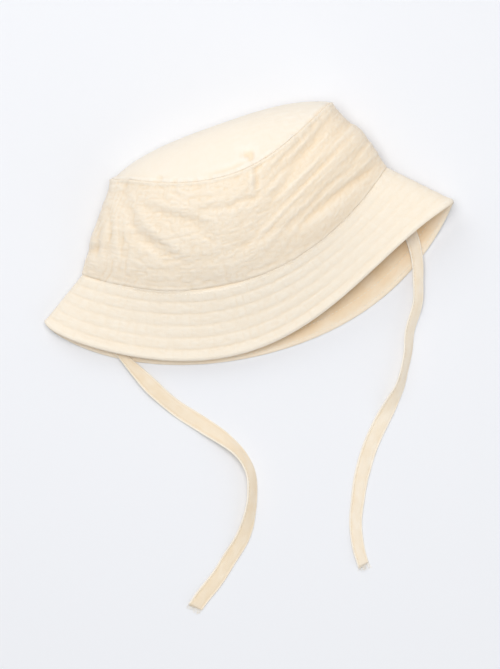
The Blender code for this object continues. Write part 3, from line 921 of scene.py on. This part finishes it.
def solidHeight(node, plan):
    # the tie's own solid says how high its middle is
    co = np.array([v.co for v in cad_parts[node].data.vertices])
    heights = []
    for x, y in plan:
        near = np.argsort(np.hypot(co[:, 0] - x, co[:, 1] - y))[: tieSet["nearest"]]
        heights.append((co[near, 2].max() + co[near, 2].min()) / 2)
    return evened(heights, tieSet["heightBlur"])


def unitRows(vectors):
    return vectors / np.linalg.norm(vectors, axis=1, keepdims=True)


def tieLine(node, angle, route):
    # the tie's middle line, with its half width and its own directions at each point
    plan = smoothRoute(route, tieSet["points"]) + headSeam(np.array(angle))[:2]
    share = np.linspace(0, 1, tieSet["points"])
    roll = evened(np.radians(np.interp(share, *tieRolls[node])), tieSet["rollBlur"])
    wobble = smoothNoise(share * tieSet["clothRun"], share * 0, tieSet["wobbleCell"], tieSet["wobbleSeed"])
    fold = evened(np.interp(share, *tieFolds[node]), tieSet["foldBlur"])
    half = tieSet["width"] / 2 * (1 + wobble * tieSet["wobble"]) * fold
    lift = np.abs(np.sin(roll)) * half * tieSet["lift"]
    middle = np.column_stack([plan, solidHeight(node, plan) + lift])
    tangent = unitRows(np.gradient(middle, axis=0))
    side = unitRows(np.cross(tangent, (0, 0, 1)))
    up = np.cross(side, tangent)
    across = side * np.cos(roll)[:, None] + up * np.sin(roll)[:, None]
    out = -side * np.sin(roll)[:, None] + up * np.cos(roll)[:, None]
    return {"share": share, "fold": fold, "half": half, "middle": middle, "tangent": tangent,
            "across": across, "out": out}


def edgeBells(wide, parts):
    return sum(share * bell(wide - place, width) for share, place, width in parts)


def acrossNoise(wide, share, cell, seed):
    # noise that follows the tie's cloth
    acrossCloth = wide * tieSet["noiseHalf"] + tieSet["noiseFrom"]
    return smoothNoise(acrossCloth, np.full(wide.shape, share * tieSet["clothRun"]), cell, seed)


def tieRings(tie, wide, thick, edges, grooves):
    # the section at each point of the tie: a folded strip, fuller along its stitched edge
    middle, across, out = tie["middle"], tie["across"], tie["out"]
    ridge = tieEdgeSet["height"] * (edges - tieEdgeSet["grooveShare"] * grooves)
    rings = []
    for i, share in enumerate(tie["share"]):
        crease = tieSet["crease"] * acrossNoise(wide, share, tieSet["creaseCell"], tieSet["creaseSeed"])
        plump = tieSet["thick"] / 2 / np.sqrt(min(1, tie["fold"][i]))
        depth = thick * (plump + np.where(thick > 0, ridge + crease, ridge * tieEdgeSet["underneath"]))
        rings.append(middle[i] + across[i] * (wide * tie["half"][i])[:, None] + out[i] * depth[:, None])
    rings = np.array(rings)
    for back, thin in tieEndSet["thin"]:
        flatPart = ((rings[-back] - middle[-back]) @ out[-back])[:, None] * out[-back]
        rings[-back] -= flatPart * (1 - thin)
    g = tieEndSet
    ragged = smoothNoise(wide * g["noiseHalf"] + g["noiseFrom"], wide * 0, g["raggedCell"], g["raggedSeed"])
    slant = wide * g["slant"] + g["ragged"] * ragged
    rings[-1] += tie["tangent"][-1] * slant[:, None]
    rings[..., 2] = np.maximum(rings[..., 2], tieSet["aboveTable"])
    return rings


def tubeFaces(length, count):
    # the sides between the rings, then the two ends
    faces = []
    for i in range(length - 1):
        for j in range(count):
            k = (j + 1) % count
            faces.append((i * count + j, i * count + k, (i + 1) * count + k, (i + 1) * count + j))
    return faces + [tuple(range(count))[::-1], tuple(range((length - 1) * count, length * count))]


def tieStrip(node, tie):
    t = np.linspace(0, fullTurn, 2 * tieSet["across"], endpoint=False)
    w, h = np.cos(t), np.sin(t)
    wide = np.sign(w) * np.abs(w) ** tieSet["wideRound"]
    thick = np.sign(h) * np.abs(h) ** tieSet["thickRound"]
    edges, grooves = edgeBells(wide, tieEdgeSet["ridges"]), edgeBells(wide, tieEdgeSet["grooves"])
    points = tieRings(tie, wide, thick, edges, grooves).reshape(-1, 3)
    count, length, g = len(t), len(tie["share"]), tieShadeSet
    faces = tubeFaces(length, count)
    alongCloth = np.repeat(tie["share"] * tieSet["clothRun"], count)
    flat = np.stack([alongCloth, np.tile(wide * tieSet["clothHalf"], length)], -1)
    grain = np.array([acrossNoise(wide, share, g["grainCell"], g["grainSeed"]) for share in tie["share"]])
    # painted shade across the tie, lighter on the ridged edges, darker in the grooves, with random grain
    shade = g[node] - g["ridges"] * np.clip(edges, 0, 1) + g["grooves"] * np.clip(grooves, 0, 1)
    dips = np.clip(shade + g["grain"] * grain, 0, 1).reshape(-1)
    uv = flat[[v for f in faces for v in f]]
    strip = meshObject(node + "_strip", points, faces, uv, dips, tieCloth)
    if volumeOf(points[np.array([f[:3] for f in faces[:-2]])]) < 0:
        strip.data.flip_normals()
    return strip


def edgeStitches(node, tie):
    # a row of stitches just inside the fuller edge
    g = tieRowSet
    sewn = tie["middle"] + tie["across"] * (tie["half"] * g["across"])[:, None]
    sewn = sewn + tie["out"] * (tieSet["thick"] / 2 + g["lift"])
    return stitched(node + "_stitching", [sewn[g["fromEnds"] : -g["fromEnds"]]], **g["stitch"])


def looseThreads(node, tie):
    # loose threads at the cut end
    draw = np.random.default_rng(fraySet["seeds"][node])
    middle, across, tangent = tie["middle"][-1], tie["across"][-1], tie["tangent"][-1]
    threads = []
    for w in np.linspace(-fraySet["across"], fraySet["across"], fraySet["threads"]):
        start = middle + across * (w * tie["half"][-1]) - tangent * fraySet["inside"]
        reach, sway = draw.uniform(*fraySet["reach"]), draw.uniform(-fraySet["sway"], fraySet["sway"])
        steps = np.linspace(0, 1, fraySet["points"])[:, None]
        thread = start + tangent * reach * steps + across * sway * steps**2
        thread[:, 2] = np.maximum(thread[:, 2], fraySet["aboveTable"])
        threads.append(thread)
    return stitched(node + "_fray", threads, **fraySet["stitch"])


def tackBar(node):
    # the tack is a dense bar of zigzag stitches
    low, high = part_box(node + "_tack")
    zig = []
    for i in range(tackSet["turns"] + 1):
        side = tackSet["reach"] if i % 2 else -tackSet["reach"]
        x = low.x + (high.x - low.x) * i / tackSet["turns"]
        zig.append((x, (low.y + high.y) / 2 + side, (low.z + high.z) / 2))
    return stitched(node + "_bar", [zig], **tackSet["stitch"])


for node, (angle, route) in tieRoutes.items():
    tie = tieLine(node, angle, route)
    strip = tieStrip(node, tie)
    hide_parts(node)
    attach(strip, node)
    edgeRow = edgeStitches(node, tie)
    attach(edgeRow, node)
    fray = looseThreads(node, tie)
    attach(fray, node)
    bar = tackBar(node)
    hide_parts(node + "_tack")
    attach(bar, "hat")
    print("made", node)
